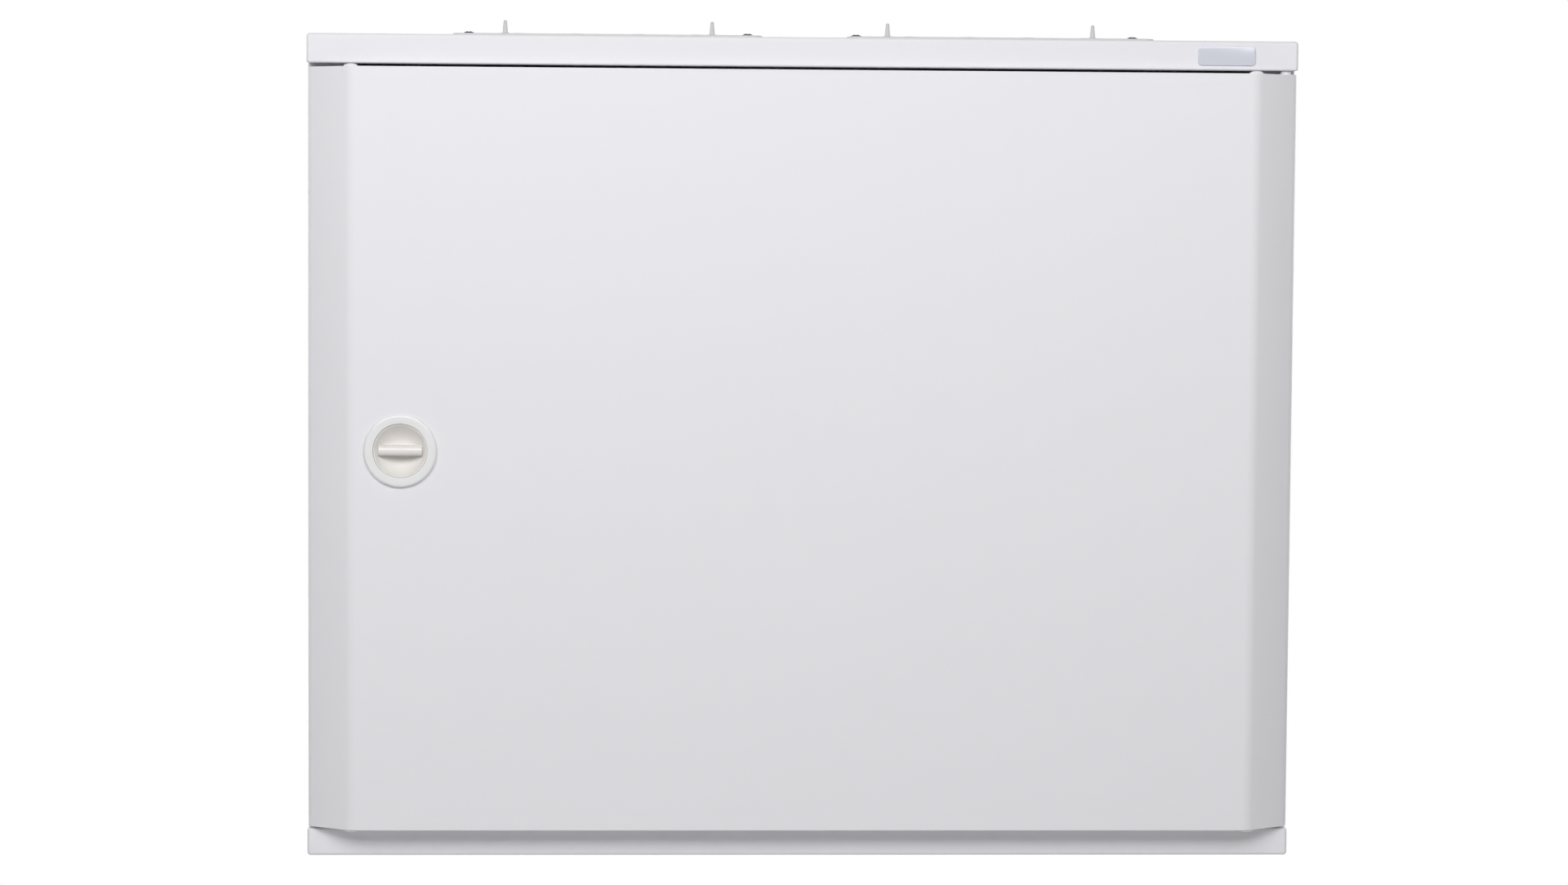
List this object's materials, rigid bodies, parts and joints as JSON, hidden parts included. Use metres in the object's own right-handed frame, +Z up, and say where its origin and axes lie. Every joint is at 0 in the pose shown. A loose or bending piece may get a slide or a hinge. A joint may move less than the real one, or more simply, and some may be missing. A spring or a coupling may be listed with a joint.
{
  "type": "residential load center",
  "caption": "Surface-mounted steel distribution board with a hinged bevelled door, quarter-turn latch, cable-entry membranes, breakers on rails and terminal bars.",
  "frame": {"origin": "centre of the back face, on the wall", "axes": "+X right along the width, +Y into the wall, +Z up; the door faces -Y"},
  "size_m": [0.578, 0.1246, 0.4925],
  "materials": {
    "powder_coat": "white powder coat, satin, light orange peel",
    "badge_plate": "domed, bare",
    "membrane": "soft light-grey moulding",
    "dark_steel": "dark zinc",
    "soft_stop": "matt",
    "zinc_steel": "bright zinc plate",
    "white_moulding": "satin moulding",
    "white_gloss": "glossy moulding",
    "device_grey": "fine spark-eroded texture",
    "brass_bar": "drawn bar",
    "insulator": "satin moulding",
    "copper": "bare punched copper",
    "lever_dark": "satin moulding",
    "button_yellow": "satin moulding"
  },
  "bodies": {
    "enclosure": {"back_box": "powder_coat", "badge": "badge_plate", "membrane_plate_left": "membrane", "membrane_plate_right": "membrane", "membrane_plate_screws": "dark_steel", "door_buffers": "soft_stop", "box_earth_stud": "zinc_steel", "hinge_pin_top": "zinc_steel", "hinge_pin_bottom": "zinc_steel", "carrier_rail_left": "zinc_steel", "carrier_rail_right": "zinc_steel", "din_rail_upper": "zinc_steel", "din_rail_lower": "zinc_steel", "carrier_screws": "zinc_steel", "cover_plate": "powder_coat", "cover_fasteners": "white_moulding", "blanking_strip_upper": "device_grey", "blanking_strip_lower": "device_grey", "neutral_bar": "brass_bar", "neutral_bar_screws": "brass_bar", "earth_bar": "brass_bar", "earth_bar_screws": "brass_bar", "terminal_holders": "insulator", "phase_comb": "copper", "comb_insulation": "insulator", "main_switch_case": "device_grey", "rcd_case": "device_grey", "mcb_case_1": "device_grey", "mcb_case_2": "device_grey", "mcb_case_3": "device_grey", "mcb_case_4": "device_grey", "mcb_case_5": "device_grey", "mcb_case_6": "device_grey", "mcb_case_7": "device_grey", "mcb_case_8": "device_grey", "mcb_case_9": "device_grey", "mcb_case_10": "device_grey"},
    "door": {"door": "powder_coat", "hinge_bushes": "white_moulding", "door_earth_stud": "zinc_steel", "latch_bezel": "white_gloss", "latch_nut": "zinc_steel"},
    "latch": {"latch_knob": "white_gloss", "latch_cam": "zinc_steel", "latch_cam_screw": "zinc_steel"},
    "main_switch_lever": {"main_switch_toggle": "lever_dark"},
    "rcd_lever": {"rcd_toggle": "lever_dark"},
    "test_button": {"rcd_test_button": "button_yellow"},
    "breaker_lever_1": {"mcb_toggle_1": "lever_dark"},
    "breaker_lever_2": {"mcb_toggle_2": "lever_dark"},
    "breaker_lever_3": {"mcb_toggle_3": "lever_dark"},
    "breaker_lever_4": {"mcb_toggle_4": "lever_dark"},
    "breaker_lever_5": {"mcb_toggle_5": "lever_dark"},
    "breaker_lever_6": {"mcb_toggle_6": "lever_dark"},
    "breaker_lever_7": {"mcb_toggle_7": "lever_dark"},
    "breaker_lever_8": {"mcb_toggle_8": "lever_dark"},
    "breaker_lever_9": {"mcb_toggle_9": "lever_dark"},
    "breaker_lever_10": {"mcb_toggle_10": "lever_dark"}
  },
  "joints": [
    {"name": "door_swing", "type": "hinge", "parent": "enclosure", "child": "door", "pos_m": [0.2822, -0.1005, 0], "axis": [0, 0, 1], "range_deg": [0, 150]},
    {"name": "latch_turn", "type": "hinge", "parent": "door", "child": "latch", "pos_m": [-0.2336, -0.11, -0.001], "axis": [0, 1, 0], "range_deg": [0, 90]},
    {"name": "main_switch_rock", "type": "hinge", "parent": "enclosure", "child": "main_switch_lever", "pos_m": [-0.18, -0.083, 0.075], "axis": [1, 0, 0], "range_deg": [0, 70]},
    {"name": "rcd_rock", "type": "hinge", "parent": "enclosure", "child": "rcd_lever", "pos_m": [-0.092, -0.083, 0.075], "axis": [1, 0, 0], "range_deg": [0, 70]},
    {"name": "rcd_test_press", "type": "slide", "parent": "enclosure", "child": "test_button", "axis": [0, 1, 0], "range_m": [0, 0.0012], "stiffness_N_per_m": 300},
    {"name": "breaker_rock_1", "type": "hinge", "parent": "enclosure", "child": "breaker_lever_1", "pos_m": [-0.063, -0.083, 0.075], "axis": [1, 0, 0], "range_deg": [0, 70]},
    {"name": "breaker_rock_2", "type": "hinge", "parent": "enclosure", "child": "breaker_lever_2", "pos_m": [-0.045, -0.083, 0.075], "axis": [1, 0, 0], "range_deg": [0, 70]},
    {"name": "breaker_rock_3", "type": "hinge", "parent": "enclosure", "child": "breaker_lever_3", "pos_m": [-0.027, -0.083, 0.075], "axis": [1, 0, 0], "range_deg": [0, 70]},
    {"name": "breaker_rock_4", "type": "hinge", "parent": "enclosure", "child": "breaker_lever_4", "pos_m": [-0.009, -0.083, 0.075], "axis": [1, 0, 0], "range_deg": [0, 70]},
    {"name": "breaker_rock_5", "type": "hinge", "parent": "enclosure", "child": "breaker_lever_5", "pos_m": [0.009, -0.083, 0.075], "axis": [1, 0, 0], "range_deg": [0, 70]},
    {"name": "breaker_rock_6", "type": "hinge", "parent": "enclosure", "child": "breaker_lever_6", "pos_m": [0.027, -0.083, 0.075], "axis": [1, 0, 0], "range_deg": [0, 70]},
    {"name": "breaker_rock_7", "type": "hinge", "parent": "enclosure", "child": "breaker_lever_7", "pos_m": [-0.207, -0.083, -0.075], "axis": [1, 0, 0], "range_deg": [0, 70]},
    {"name": "breaker_rock_8", "type": "hinge", "parent": "enclosure", "child": "breaker_lever_8", "pos_m": [-0.189, -0.083, -0.075], "axis": [1, 0, 0], "range_deg": [0, 70]},
    {"name": "breaker_rock_9", "type": "hinge", "parent": "enclosure", "child": "breaker_lever_9", "pos_m": [-0.171, -0.083, -0.075], "axis": [1, 0, 0], "range_deg": [0, 70]},
    {"name": "breaker_rock_10", "type": "hinge", "parent": "enclosure", "child": "breaker_lever_10", "pos_m": [-0.153, -0.083, -0.075], "axis": [1, 0, 0], "range_deg": [0, 70]}
  ]
}
